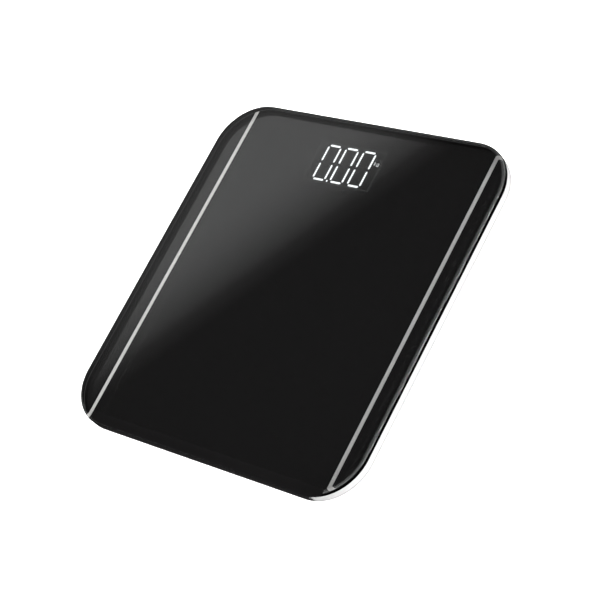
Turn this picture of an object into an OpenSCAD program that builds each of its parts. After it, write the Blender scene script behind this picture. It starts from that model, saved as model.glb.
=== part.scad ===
// Digital bathroom scale: a thick glass platform over a shallow tray that stands
// on four load-cell feet.  +Z is up, +Y points at the display end, and the origin
// lies on the floor under the middle of the platform.

/* [Platform] */
// Width of the glass, across the display
platform_w = 260; // [240:1:320]
// Length of the glass, towards the display
platform_l = 270; // [260:1:330]
// Radius of the glass corners in plan
corner_r = 36; // [24:1:44]
// Thickness of the glass
glass_t = 10; // [6:0.5:12]
// Radius of the polished top edge of the glass
edge_r = 3; // [1:0.5:4]
// Height of the top face above the floor
total_h = 28; // [28:0.5:34]

/* [Decoration] */
// Distance from the middle of the glass to the middle of each silver stripe
stripe_x = 110; // [98:0.5:112]
// Width of a silver stripe
stripe_w = 3; // [2:0.5:6]

/* [Display] */
// Width of the display window
window_w = 60; // [59:0.5:62]
// Length of the display window
window_l = 32; // [31:0.5:36]
// Distance of the display's middle from the middle of the glass
display_y = 101; // [100:0.5:101]
// Height of one digit
digit_h = 29.5; // [24:0.5:30]
// Width of one digit
digit_w = 12.4; // [10:0.2:12.6]
// Distance from one digit to the next
digit_pitch = 16; // [15:0.5:16]
// Width of one display segment
segment_w = 1.5; // [1.2:0.1:2]

/* [Feet] */
// Distance of each foot from the middle, across the display
foot_x = 82; // [78:1:82]
// Distance of each foot from the middle, towards the display
foot_y = 86; // [82:1:86]
// Radius of a foot
foot_r = 21; // [18:0.5:21]
// Play of a foot: how far it drops on its stem when the scale is lifted
foot_play = 0.5; // [0.3:0.1:0.6]

/* [Controls] */
// Radius of the unit button
button_r = 4.8; // [4:0.1:5]
// Travel of the unit button
button_travel = 0.5; // [0.3:0.1:0.6]

/* [Hidden] */
$fn = 64;

// Cutters pass this far through the faces they open
cut = 0.5;

// Heights of the stack, from the top face down
glass_z = total_h - glass_t;
sheet_t = 0.5;
sheet_z = glass_z - sheet_t;
sheet_inset = 1;
foil_t = 0.2;
tape_t = 0.5;
tape_w = 3.2;
rim_z = sheet_z - tape_t;
glass_arris = 0.6;

// Tray
tray_z = 4;
floor_t = 2;
floor_z = tray_z + floor_t;
tray_wall = 2;
tray_side = 110;
tray_front = -115;
tray_rear = 127;
tray_r = 24;
rib_h = 1;
rib_w = 1.6;
collar_h = 1;
collar_w = 1.8;
boss_r = 3;
post_r = 3;

// Middle of the window and of its three digits
window_x = -8;
window_mid_y = display_y - 1;

// Display stack, from the sheet down
seg_t = 0.1;
lcd_t = 1.5;
lcd_w = 78;
lcd_l = 42;
lcd_z = sheet_z - seg_t - lcd_t;
guide_t = 3;
guide_l = 37.6;
guide_z = lcd_z - guide_t;
board_t = 1.6;
board_w = 96;
board_l = 46;
board_top = guide_z - 0.6;
board_z = board_top - board_t;
frame_wall = 1.2;
frame_gap = 0.2;
board_hole_x = 44.5;
board_hole_y = 19.5;
led_l = 3.4;

// Load cells
cell_t = 2;
cell_half = 18;
cell_gap = 0.05;
cell_r = 5;
cell_seat_gap = 0.2;
foot_z = 1;
pad_t = 1.5;
pad_r = foot_r - 2.5;
foot_top = 5.2;
boss_top = 8.4;
cell_z = boss_top + cell_gap;
cell_top = cell_z + cell_t;
stem_r = 1.8;
stem_head_r = 2.4;
cell_hole_r = 2.1;
well_r = foot_r + 1.5;
carrier_half = 20;
carrier_r = 8;
carrier_z = boss_top;
stem_top = cell_top + foot_play + 1.2;
carrier_pocket_r = 13.5;
cell_screw_at = 14.8;

// Unit button
button_x = 30;
button_y = 92;
button_z = tray_z - 0.7;
flange_r = button_r + 1.6;
flange_t = 0.48;
flange_z = floor_z + 0.02;
flange_top = flange_z + flange_t;
plunger_r = 1.7;
switch_z = flange_top + button_travel + 0.3;
switch_half = 3;
switch_bore = 1.2;

// Battery bay
aaa_r = 5.25;
aaa_l = 44.5;
aaa_nub_l = 1;
aaa_nub_r = 1.9;
aaa_pitch = 11.2;
bay_half = 17.2;
bay_wall = 2;
bay_rear = -60;
bay_front = tray_front + tray_wall;
plate_t = 0.5;
door_t = 1.8;
door_gap = 0.2;
aaa_z = tray_z + door_t + 0.15 + aaa_r;
bay_roof_z = aaa_z + aaa_r + 0.15;
groove_w = 1.2;
groove_z = tray_z + 0.55;
groove_h = 0.9;
spring_r = 3.2;
spring_wire = 0.35;
spring_turns = 5;

// Leads
lead_r = 1.1;
lead_z = floor_z + 2.3;
lead_exit_z = cell_top - lead_r - 0.1;
socket_z = board_z - 3;
socket_y = display_y - board_l / 2 + 0.2;
socket_xs = [-34, -20, 0, 20, 34];

// A rectangle with round corners, centred on the origin
module rounded_rect(w, l, r) {
    square([w - 2 * r, l], center = true);
    square([w, l - 2 * r], center = true);
    for (sx = [-1, 1], sy = [-1, 1])
        translate([sx * (w / 2 - r), sy * (l / 2 - r)])
            circle(r);
}

// The plan of the glass, drawn in from its edge by d
module platform_plan(d) {
    rounded_rect(platform_w - 2 * d, platform_l - 2 * d, corner_r - d);
}

// The plan of the tray, drawn in from its outside by d
module tray_plan(d) {
    translate([0, (tray_front + tray_rear) / 2])
        rounded_rect(2 * tray_side - 2 * d, tray_rear - tray_front - 2 * d, tray_r - d);
}

// A box centred in plan that stands on height z
module box_at(x, y, z, w, l, h) {
    translate([x - w / 2, y - l / 2, z])
        cube([w, l, h]);
}

// A disc that stands on height z
module disc_at(x, y, z, r, h) {
    translate([x, y, z])
        cylinder(h = h, r = r);
}

// ---- Glass and what is printed or laid under it ----

// Section of the glass rim: a small arris below, a round polished edge above
function rim_section() = concat(
    [[0, 0], [corner_r - glass_arris, 0], [corner_r, glass_arris]],
    [for (a = [0 : 11.25 : 90])
        [corner_r - edge_r + edge_r * cos(a), glass_t - edge_r + edge_r * sin(a)]],
    [[0, glass_t]]
);

module glass_platform() {
    color([0.05, 0.05, 0.06, 0.5])
        translate([0, 0, glass_z])
            hull()
                for (sx = [-1, 1], sy = [-1, 1])
                    translate([sx * (platform_w / 2 - corner_r), sy * (platform_l / 2 - corner_r), 0])
                        rotate_extrude()
                            polygon(rim_section());
}

// The plan of one silver stripe, cut to the outline of the sheet
module stripe_plan(side) {
    intersection() {
        platform_plan(sheet_inset);
        translate([side * stripe_x, 0])
            square([stripe_w, platform_l], center = true);
    }
}

module print_sheet() {
    color([0.04, 0.04, 0.045])
        difference() {
            translate([0, 0, sheet_z])
                linear_extrude(sheet_t)
                    platform_plan(sheet_inset);
            box_at(window_x, window_mid_y, sheet_z - cut, window_w, window_l, sheet_t + 2 * cut);
            for (side = [-1, 1])
                box_at(side * stripe_x, 0, glass_z - foil_t, stripe_w, platform_l, foil_t + cut);
        }
}

module stripe(side) {
    color([0.78, 0.79, 0.8])
        translate([0, 0, glass_z - foil_t])
            linear_extrude(foil_t)
                stripe_plan(side);
}

// ---- Display ----

module display_lens() {
    color([0.08, 0.08, 0.1, 0.6])
        box_at(window_x, window_mid_y, sheet_z, window_w, window_l, sheet_t);
}

// One segment with pointed ends, lying along X, centred on the origin
module segment_bar(len) {
    h = segment_w / 2;
    polygon([[-len / 2, 0], [-len / 2 + h, h], [len / 2 - h, h],
             [len / 2, 0], [len / 2 - h, -h], [-len / 2 + h, -h]]);
}

// The six lit segments of a nought, centred on the origin
module nought_plan() {
    across = digit_w - segment_w;
    half_up = (digit_h - segment_w) / 2;
    gap_across = 1.4;
    gap_up = 1.9;
    for (s = [-1, 1]) {
        translate([0, s * half_up])
            segment_bar(across - gap_across);
        for (u = [-1, 1])
            translate([u * across / 2, s * half_up / 2])
                rotate(90)
                    segment_bar(half_up - gap_up);
    }
}

// The unit mark: a small k and g drawn as plain strokes, from its lower left corner
module unit_plan() {
    stroke = 0.45;
    tall = 3.2;
    low = 2.2;
    arm = 1.5;
    bowl_r = 1.05;
    bowl_x = 3.3;
    square([stroke, tall]);
    for (s = [-1, 1])
        translate([stroke, low / 2])
            rotate(s * 45)
                translate([-stroke / 3, -stroke / 2])
                    square([arm, stroke]);
    translate([bowl_x, low / 2])
        difference() {
            circle(bowl_r);
            circle(bowl_r - stroke);
        }
    translate([bowl_x + bowl_r - stroke, -stroke])
        square([stroke, low + stroke]);
    translate([bowl_x - bowl_r, -stroke])
        square([2 * bowl_r, stroke]);
}

module lit_segments() {
    point = 1.3;
    unit_gap = 1.7;
    unit_up = 4.7;
    color([0.95, 0.97, 1])
        translate([window_x, window_mid_y, lcd_z + lcd_t])
            linear_extrude(seg_t) {
                for (i = [-1 : 1])
                    translate([i * digit_pitch, 0])
                        nought_plan();
                translate([-digit_pitch / 2, (segment_w - digit_h) / 2])
                    square(point, center = true);
                translate([digit_pitch + digit_w / 2 + unit_gap, unit_up])
                    unit_plan();
            }
}

module lcd_cell() {
    ledge = 1.2;
    color([0.06, 0.07, 0.08])
        difference() {
            box_at(0, display_y, lcd_z, lcd_w, lcd_l, lcd_t);
            // the lower glass shows as a contact ledge along each long side
            for (s = [-1, 1])
                box_at(0, display_y + s * (lcd_l / 2 - ledge / 2 + cut / 2), lcd_z + lcd_t / 2,
                       lcd_w + cut, ledge + cut, lcd_t);
        }
}

module light_guide() {
    color([0.9, 0.92, 0.95])
        translate([led_l / 2, display_y, guide_z + guide_t / 2])
            cube([lcd_w - led_l - 0.8, guide_l, guide_t], center = true);
}

module backlight_leds() {
    color([0.95, 0.92, 0.7])
        for (i = [-1 : 1])
            box_at(-lcd_w / 2 + led_l / 2, display_y + i * 12, board_top, led_l, 5, 2.4);
}

module zebra_strips() {
    color([0.25, 0.25, 0.28])
        for (s = [-1, 1])
            box_at(0, display_y + s * (lcd_l / 2 - 1), board_top, 60, 1.6, lcd_z - board_top);
}

module lcd_frame() {
    outer_w = lcd_w + 2 * (frame_wall + frame_gap);
    outer_l = lcd_l + 2 * (frame_wall + frame_gap);
    inner_w = lcd_w + 2 * frame_gap;
    inner_l = lcd_l + 2 * frame_gap;
    color([0.85, 0.85, 0.83]) {
        difference() {
            box_at(0, display_y, board_top, outer_w, outer_l, sheet_z - board_top);
            box_at(0, display_y, board_top - cut, inner_w, inner_l, sheet_z - board_top + 2 * cut);
        }
        // tabs under the ends of the light guide
        for (s = [-1, 1])
            box_at(36.5, display_y + s * 12, board_top, 5.5, 6, guide_z - board_top);
    }
}

// ---- Electronics ----

module main_board() {
    color([0.06, 0.35, 0.2])
        difference() {
            box_at(0, display_y, board_z, board_w, board_l, board_t);
            for (sx = [-1, 1], sy = [-1, 1])
                disc_at(sx * board_hole_x, display_y + sy * board_hole_y, board_z - cut, 1.2, board_t + 2 * cut);
        }
}

module board_parts() {
    color([0.1, 0.1, 0.1]) {
        // controller, memory, crystal and smoothing capacitors on the lower face
        box_at(-10, display_y + 4, board_z - 1.2, 9, 9, 1.2);
        box_at(8, display_y + 8, board_z - 1.4, 5, 4, 1.4);
        box_at(-26, display_y + 6, board_z - 2.6, 10, 3.6, 2.6);
        for (i = [0 : 3])
            box_at(-24 + 4 * i, display_y - 4, board_z - 0.8, 2, 1.2, 0.8);
        disc_at(10, display_y - 2, board_z - 3.4, 2.5, 3.4);
    }
}

module lead_sockets() {
    color([0.92, 0.9, 0.84])
        for (x = socket_xs)
            box_at(x, socket_y + 2.5, socket_z, 7, 5, board_z - socket_z);
}

module board_screws() {
    color([0.7, 0.7, 0.72])
        for (sx = [-1, 1], sy = [-1, 1])
            translate([sx * board_hole_x, display_y + sy * board_hole_y, 0]) {
                disc_at(0, 0, board_z - 3.5, 1, board_t + 3.5);
                difference() {
                    disc_at(0, 0, board_top, 2, 1.3);
                    for (a = [0, 90])
                        rotate(a)
                            box_at(0, 0, board_top + 0.6, 2.4, 0.5, 1);
                }
            }
}

module tact_switch() {
    color([0.15, 0.15, 0.16])
        difference() {
            box_at(button_x, button_y, switch_z, 2 * switch_half, 2 * switch_half, board_z - switch_z);
            disc_at(button_x, button_y, switch_z - cut, plunger_r + 0.1, switch_bore + cut);
        }
}

module switch_plunger() {
    color([0.9, 0.9, 0.88])
        disc_at(button_x, button_y, flange_top, plunger_r, button_travel + 0.3 + 0.6);
}

module unit_button() {
    color([0.3, 0.31, 0.33])
        translate([button_x, button_y, 0])
            rotate_extrude()
                polygon([[0, button_z], [button_r - 0.5, button_z], [button_r, button_z + 0.5],
                         [button_r, flange_z], [flange_r, flange_z], [flange_r, flange_top],
                         [0, flange_top]]);
}

// ---- Tray ----

module bond_tape() {
    color([0.85, 0.85, 0.8])
        translate([0, 0, rim_z])
            linear_extrude(tape_t)
                difference() {
                    tray_plan(0.5);
                    tray_plan(tape_w);
                }
}

// Plain walls, floor and bonding rim
module tray_shell() {
    difference() {
        translate([0, 0, tray_z])
            linear_extrude(rim_z - tray_z)
                tray_plan(0);
        translate([0, 0, floor_z])
            linear_extrude(rim_z - floor_z - tray_wall)
                tray_plan(tray_wall);
        translate([0, 0, rim_z - tray_wall - cut])
            linear_extrude(tray_wall + 2 * cut)
                tray_plan(tape_w);
    }
}

// Walls and roof of the battery bay
module bay_walls() {
    bay_l = bay_rear + bay_wall - bay_front;
    for (s = [-1, 1])
        box_at(s * (bay_half + bay_wall / 2), bay_front + bay_l / 2, floor_z - cut,
               bay_wall, bay_l + 1, bay_roof_z - floor_z + cut);
    box_at(0, bay_rear + bay_wall / 2, floor_z - cut,
           2 * bay_half + 1, bay_wall, bay_roof_z - floor_z + cut);
    // the roof runs under the rim, and touches the sheet behind the tape
    box_at(0, bay_front + bay_l / 2, bay_roof_z, 2 * (bay_half + bay_wall), bay_l, rim_z - bay_roof_z);
    box_at(0, bay_front + (bay_l + tape_w) / 2, bay_roof_z, 2 * (bay_half + bay_wall), bay_l - tape_w,
           sheet_z - bay_roof_z);
}

// Collars, ribs, bosses and posts that stand on the floor
module tray_inside() {
    for (sx = [-1, 1], sy = [-1, 1])
        disc_at(sx * foot_x, sy * foot_y, floor_z - cut, well_r + collar_w, collar_h + cut);
    for (x = [-66, -44, -22, 0, 22, 44, 66])
        box_at(x, 5, floor_z - cut, rib_w, 96, rib_h + cut);
    for (y = [-40, -10, 20, 50])
        box_at(0, y, floor_z - cut, 140, rib_w, rib_h + cut);
    for (sx = [-1, 1], sy = [-1, 1])
        disc_at(sx * board_hole_x, display_y + sy * board_hole_y, floor_z - cut, boss_r, board_z - floor_z + cut);
    for (sx = [-1, 1], y = [-20, 35])
        disc_at(sx * 88, y, floor_z - cut, post_r, sheet_z - floor_z + cut);
    for (y = [-25, 35])
        disc_at(10, y, floor_z - cut, post_r, sheet_z - floor_z + cut);
}

module base_tray() {
    color([0.09, 0.09, 0.1])
        difference() {
            union() {
                tray_shell();
                bay_walls();
                tray_inside();
            }
            // round wells for the feet
            for (sx = [-1, 1], sy = [-1, 1])
                disc_at(sx * foot_x, sy * foot_y, tray_z - cut, well_r, 6);
            // pilot holes in the board bosses
            for (sx = [-1, 1], sy = [-1, 1])
                disc_at(sx * board_hole_x, display_y + sy * board_hole_y, board_z - 4, 1, 4 + cut);
            // hole for the unit button
            disc_at(button_x, button_y, tray_z - cut, button_r + 0.3, floor_t + 2 * cut);
            // room for the cells where the bay runs under the rim
            box_at(0, (bay_front + bay_rear) / 2, tray_z - cut, 2 * bay_half, bay_rear - bay_front,
                   bay_roof_z - tray_z + cut);
            // mouth of the battery bay and the grooves that hold the door
            box_at(0, (tray_front + bay_rear) / 2 - cut, tray_z - cut,
                   2 * bay_half, bay_rear - tray_front + 2 * cut, floor_t + cut);
            box_at(0, (tray_front + bay_rear) / 2 - cut, groove_z,
                   2 * (bay_half + groove_w), bay_rear - tray_front + 2 * cut, groove_h);
            // shallow recess for the rating label
            box_at(0, 0, tray_z - cut, 60, 36, cut + 0.3);
        }
}

module rating_label() {
    color([0.8, 0.8, 0.8])
        box_at(0, 0, tray_z + 0.05, 59, 35, 0.25);
}

// ---- Load cells and feet; every one is drawn at the origin and then placed ----

// Places a corner unit: its lead side faces the middle of the scale
module corner_unit(sx, sy) {
    translate([sx * foot_x, sy * foot_y, 0])
        rotate(sy > 0 ? 180 : 0)
            children();
}

module cell_carrier() {
    color([0.2, 0.2, 0.22])
        difference() {
            translate([0, 0, carrier_z])
                linear_extrude(sheet_z - carrier_z)
                    rounded_rect(2 * carrier_half, 2 * carrier_half, carrier_r);
            // seat of the cell
            translate([0, 0, carrier_z - cut])
                linear_extrude(cell_top - carrier_z + cut)
                    rounded_rect(2 * (cell_half + cell_seat_gap), 2 * (cell_half + cell_seat_gap), cell_r);
            // room for the tongue and the stem
            disc_at(0, 0, cell_top - cut, carrier_pocket_r, 4.5 + cut);
            // way out for the lead
            box_at(0, carrier_half, carrier_z - cut, 6, 6, cell_top - carrier_z + cut);
            for (s = [-1, 1])
                disc_at(s * cell_screw_at, s * cell_screw_at, cell_top - cut, 1.25, 4 + cut);
        }
}

// Steel cell: a square frame with a tongue cut free on three sides
module load_cell() {
    color([0.72, 0.73, 0.75])
        translate([0, 0, cell_z])
            linear_extrude(cell_t)
                difference() {
                    rounded_rect(2 * cell_half, 2 * cell_half, cell_r);
                    difference() {
                        translate([0, -1])
                            square([25, 23], center = true);
                        square([13, 16], center = true);
                        translate([0, 9])
                            square([9, 8], center = true);
                    }
                    circle(cell_hole_r);
                    for (s = [-1, 1])
                        translate([s * cell_screw_at, s * cell_screw_at])
                            circle(1.25);
                }
}

module strain_gauges() {
    color([0.95, 0.95, 0.93])
        for (sx = [-1, 1], sy = [-1, 1])
            corner_unit(sx, sy)
                box_at(0, 8.4, cell_top, 6, 4.4, 0.8);
}

module cell_screws() {
    color([0.75, 0.75, 0.77])
        for (sx = [-1, 1], sy = [-1, 1])
            corner_unit(sx, sy)
                for (s = [-1, 1])
                    translate([s * cell_screw_at, s * cell_screw_at, 0]) {
                        disc_at(0, 0, cell_z - cut, 1.25, cell_t + 3.5 + cut);
                        difference() {
                            disc_at(0, 0, cell_z - 1.4, 2.3, 1.4);
                            box_at(0, 0, cell_z - 2, 3, 0.6, 1.2);
                        }
                    }
}

module foot() {
    color([0.12, 0.12, 0.13])
        difference() {
            rotate_extrude()
                polygon([[0, foot_z], [foot_r - 1, foot_z], [foot_r, foot_z + 1], [foot_r, foot_top - 0.6],
                         [foot_r - 0.6, foot_top], [5, foot_top], [5, boss_top], [stem_r, boss_top],
                         [stem_r, stem_top - 1.15], [stem_head_r, stem_top - 1.15],
                         [stem_r, stem_top], [0, stem_top]]);
            // seat of the rubber pad
            disc_at(0, 0, foot_z - cut, pad_r + 0.1, 0.5 + cut);
            // hollow ring that lightens the moulding
            difference() {
                disc_at(0, 0, foot_top - 2.2, foot_r - 2.5, 3);
                disc_at(0, 0, foot_top - 3, 7, 5);
                for (a = [0 : 60 : 120])
                    rotate(a)
                        box_at(0, 0, foot_top - 3, 2 * foot_r, 1.4, 5);
            }
            // slit that lets the snap head spring
            box_at(0, 0, boss_top + 0.3, 0.7, 8, 6);
        }
}

module foot_pad() {
    groove = 0.5;
    color([0.16, 0.16, 0.17])
        difference() {
            disc_at(0, 0, 0, pad_r, pad_t);
            for (r = [6, 12])
                difference() {
                    disc_at(0, 0, -cut, r + 0.8, groove + cut);
                    disc_at(0, 0, -2 * cut, r - 0.8, groove + 4 * cut);
                }
        }
}

// ---- Leads ----

function lead_frame(pts, i) =
    let (n = len(pts),
         a = pts[max(i - 1, 0)],
         b = pts[min(i + 1, n - 1)],
         t = (b - a) / norm(b - a),
         u0 = cross([0, 0, 1], t),
         u = u0 / norm(u0))
    [u, cross(t, u)];

// Points of a Catmull-Rom curve through a route, so that every bend is smooth
function route_at(p, i, s) =
    let (n = len(p),
         a = p[max(i - 1, 0)], b = p[i], c = p[i + 1], d = p[min(i + 2, n - 1)])
    0.5 * ((2 * b) + (c - a) * s + (2 * a - 5 * b + 4 * c - d) * s * s
           + (3 * b - a - 3 * c + d) * s * s * s);
function smooth_route(p, steps) = concat(
    [for (i = [0 : len(p) - 2], k = [0 : steps - 1]) route_at(p, i, k / steps)],
    [p[len(p) - 1]]
);

module lead(route, r) {
    sides = 8;
    pts = smooth_route(route, 3);
    n = len(pts);
    rings = [for (i = [0 : n - 1])
        let (f = lead_frame(pts, i))
        for (k = [0 : sides - 1])
            pts[i] + r * (cos(360 * k / sides) * f[0] + sin(360 * k / sides) * f[1])];
    walls = [for (i = [0 : n - 2], k = [0 : sides - 1])
        let (a = i * sides + k, b = i * sides + (k + 1) % sides)
        [a, a + sides, b + sides, b]];
    polyhedron(rings, concat(
        [[for (k = [0 : sides - 1]) k]],
        walls,
        [[for (k = [sides - 1 : -1 : 0]) (n - 1) * sides + k]]
    ));
}

// Routes on the right-hand side; the left-hand leads mirror them
front_route = [[foot_x, cell_half - foot_y, lead_exit_z], [foot_x, 24 - foot_y, 9.4], [78, -52, 8.6],
               [64, -40, lead_z], [50, -14, lead_z], [42, 24, lead_z], [32, 56, lead_z],
               [22, 70, 8.6], [20, socket_y, 9]];
rear_route = [[foot_x, foot_y - cell_half, lead_exit_z], [foot_x, foot_y - 23, 9.4], [75, 56, 8.6],
              [60, 55, lead_z], [44, 63, lead_z], [35, 71, 8.6], [34, socket_y, 9]];
battery_route = [[14, bay_rear + bay_wall, 9], [14, -50, 8.6], [4, -36, lead_z], [-4, 0, lead_z],
                 [-4, 44, lead_z], [0, 68, 8.6], [0, socket_y, 9]];

module cell_lead(side, route) {
    color([0.75, 0.12, 0.1])
        lead([for (p = route) [side * p[0], p[1], p[2]]], lead_r);
}

// ---- Battery bay ----

// One cell; way is +1 where its nub points at the display end
module battery(x, way) {
    tip = way > 0 ? bay_rear - plate_t : bay_front + plate_t;
    color([0.3, 0.32, 0.36])
        translate([x, tip, aaa_z])
            rotate([way > 0 ? 90 : -90, 0, 0])
                rotate_extrude()
                    polygon([[0, 0], [aaa_nub_r, 0], [aaa_nub_r, aaa_nub_l], [aaa_r - 0.5, aaa_nub_l],
                             [aaa_r, aaa_nub_l + 0.5], [aaa_r, aaa_l - 0.5], [aaa_r - 0.5, aaa_l],
                             [0, aaa_l]]);
}

// One contact spring along -Y from the origin
module contact_spring(len) {
    steps = 10;
    turns = spring_turns;
    route = [for (i = [0 : steps * turns])
        let (s = i / (steps * turns), r = spring_r * (1 - 0.35 * s))
        [r * cos(360 * turns * s), -spring_wire - (len - 2 * spring_wire) * s, r * sin(360 * turns * s)]];
    sides = 6;
    n = len(route);
    rings = [for (i = [0 : n - 1])
        let (a = 360 * turns * i / (n - 1), out = [cos(a), 0, sin(a)])
        for (k = [0 : sides - 1])
            route[i] + spring_wire * (cos(360 * k / sides) * out + sin(360 * k / sides) * [0, 1, 0])];
    walls = [for (i = [0 : n - 2], k = [0 : sides - 1])
        let (a = i * sides + k, b = i * sides + (k + 1) % sides)
        [a, a + sides, b + sides, b]];
    polyhedron(rings, concat(
        [[for (k = [0 : sides - 1]) k]],
        walls,
        [[for (k = [sides - 1 : -1 : 0]) (n - 1) * sides + k]]
    ));
}

module battery_springs() {
    free = bay_rear - bay_front - 2 * plate_t - aaa_l;
    color([0.85, 0.85, 0.86]) {
        for (s = [-1, 1])
            translate([s * aaa_pitch, bay_front + plate_t, aaa_z])
                mirror([0, 1, 0])
                    contact_spring(free);
        translate([0, bay_rear - plate_t, aaa_z])
            contact_spring(free);
    }
}

module contact_plates() {
    h = 8;
    color([0.8, 0.8, 0.78])
        for (y = [bay_front, bay_rear - plate_t]) {
            // one bridge joins two cells, and the third cell has a plate of its own
            side = y == bay_front ? 1 : -1;
            box_at(side * aaa_pitch / 2, y + plate_t / 2, aaa_z - h / 2, aaa_pitch + 8, plate_t, h);
            box_at(-side * aaa_pitch, y + plate_t / 2, aaa_z - h / 2, 8, plate_t, h);
        }
}

module battery_door() {
    door_rear = bay_rear - 0.3;
    door_l = door_rear - tray_front;
    mid = (door_rear + tray_front) / 2;
    color([0.1, 0.1, 0.11])
        difference() {
            union() {
                box_at(0, mid, tray_z, 2 * (bay_half - door_gap), door_l, door_t);
                box_at(0, mid, groove_z + 0.15, 2 * (bay_half + groove_w - 0.2), door_l, groove_h - 0.3);
            }
            // slots that free the latch tongue
            for (s = [-1, 1])
                box_at(s * 6, tray_front + 6, tray_z - cut, 0.9, 14, door_t + 2 * cut);
            // grip ribs on the tongue
            for (i = [0 : 3])
                box_at(0, tray_front + 3 + 2.4 * i, tray_z - cut, 9, 1.2, cut + 0.5);
        }
}

glass_platform();
print_sheet();
stripe(-1);  // stripe_left
stripe(1);  // stripe_right
display_lens();
lit_segments();
lcd_cell();
light_guide();
backlight_leds();
zebra_strips();
lcd_frame();
main_board();
board_parts();
lead_sockets();
board_screws();
tact_switch();
switch_plunger();
unit_button();
bond_tape();
base_tray();
rating_label();
corner_unit(-1, -1) cell_carrier();  // cell_carrier_front_left
corner_unit(1, -1) cell_carrier();  // cell_carrier_front_right
corner_unit(-1, 1) cell_carrier();  // cell_carrier_rear_left
corner_unit(1, 1) cell_carrier();  // cell_carrier_rear_right
corner_unit(-1, -1) load_cell();  // load_cell_front_left
corner_unit(1, -1) load_cell();  // load_cell_front_right
corner_unit(-1, 1) load_cell();  // load_cell_rear_left
corner_unit(1, 1) load_cell();  // load_cell_rear_right
strain_gauges();
cell_screws();
corner_unit(-1, -1) foot();  // foot_front_left
corner_unit(1, -1) foot();  // foot_front_right
corner_unit(-1, 1) foot();  // foot_rear_left
corner_unit(1, 1) foot();  // foot_rear_right
corner_unit(-1, -1) foot_pad();  // foot_pad_front_left
corner_unit(1, -1) foot_pad();  // foot_pad_front_right
corner_unit(-1, 1) foot_pad();  // foot_pad_rear_left
corner_unit(1, 1) foot_pad();  // foot_pad_rear_right
cell_lead(-1, front_route);  // cell_lead_front_left
cell_lead(1, front_route);  // cell_lead_front_right
cell_lead(-1, rear_route);  // cell_lead_rear_left
cell_lead(1, rear_route);  // cell_lead_rear_right
battery(-aaa_pitch, 1);  // battery_left
battery(0, -1);  // battery_middle
battery(aaa_pitch, 1);  // battery_right
battery_springs();
contact_plates();
color([0.1, 0.1, 0.1]) lead(battery_route, 0.9);  // battery_lead
battery_door();
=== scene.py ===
import math

import bmesh
import bpy
from mathutils import Matrix, Vector


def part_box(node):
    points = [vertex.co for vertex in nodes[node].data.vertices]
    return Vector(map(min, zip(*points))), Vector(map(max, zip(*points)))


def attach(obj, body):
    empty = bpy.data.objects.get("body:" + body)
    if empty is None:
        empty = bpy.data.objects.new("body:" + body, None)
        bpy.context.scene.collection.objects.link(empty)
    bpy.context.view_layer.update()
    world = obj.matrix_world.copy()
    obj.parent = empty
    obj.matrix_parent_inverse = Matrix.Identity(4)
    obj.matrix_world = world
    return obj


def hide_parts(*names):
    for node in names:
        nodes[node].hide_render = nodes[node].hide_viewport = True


# Looks of a digital bathroom scale: a polished glass platform over a glossy black sheet
# with two satin stripes and a lit display, on a moulded tray with four rubber feet.

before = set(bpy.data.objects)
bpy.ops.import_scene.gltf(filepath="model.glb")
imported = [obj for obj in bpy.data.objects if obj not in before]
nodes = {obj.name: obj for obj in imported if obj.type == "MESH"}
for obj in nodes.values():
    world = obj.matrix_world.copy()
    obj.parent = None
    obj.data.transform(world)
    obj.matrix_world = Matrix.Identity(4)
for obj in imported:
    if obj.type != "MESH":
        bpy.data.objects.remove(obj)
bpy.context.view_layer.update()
scene = bpy.context.scene

# ---- Sizes, in metres ----

MM = 0.001
CORNERS = ("front_left", "front_right", "rear_left", "rear_right")
SOFT_EDGE_ANGLE = math.radians(40)
SMOOTH_ANGLE = math.radians(32)
FLAT_ANGLE = math.radians(0.6)

# The glass plate
glass_low, glass_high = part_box("glass_platform")
GLASS_W = glass_high.x - glass_low.x
GLASS_L = glass_high.y - glass_low.y
GLASS_T = glass_high.z - glass_low.z
CORNER_R = 36 * MM
EDGE_R = 3 * MM
ARRIS = 0.6 * MM
AIR_GAP = 0.1 * MM

# Black ink on the underside along the front edge, between the stripes: painted shade that keeps the
# front edge dark and hides its reflections
SHADE_INK_TO = glass_low.y + 9.5 * MM
SHADE_INK_HALF = 108.4 * MM

# The rim is milky from the stripes outwards, and a little sooner round the front right corner
FROST_FROM = 110.5 * MM
FROST_FADE = 3 * MM
FRONT_FROST_FROM = 100.5 * MM
FRONT_FROST_Y = -120 * MM
# Below this height the outside of the wall is painted darker: painted shade along the wall's foot
WALL_SHADE_TOP_Z = glass_low.z + 1.5 * MM

# Width of the paler line painted round the window, a painted highlight of its edge; X from which a lit
# bar belongs to the unit
WINDOW_GLINT_WIDTH = 0.6 * MM
UNIT_FROM = 15.0 * MM

# Middles of the feet; border, line width and rules of the blank label
FOOT_X = 82 * MM
FOOT_Y = 86 * MM
LABEL_X = 27.5 * MM
LABEL_Y = 15.5 * MM
LABEL_LINE = 0.2 * MM
LABEL_RULE = 6 * MM

# Cells and springs of the battery bay
CELL_PITCH = 11.2 * MM
CELL_Z = 11.2 * MM
BAY_MIDDLE_Y = -86.5 * MM
SPRING_WIRE = 0.35 * MM

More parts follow.
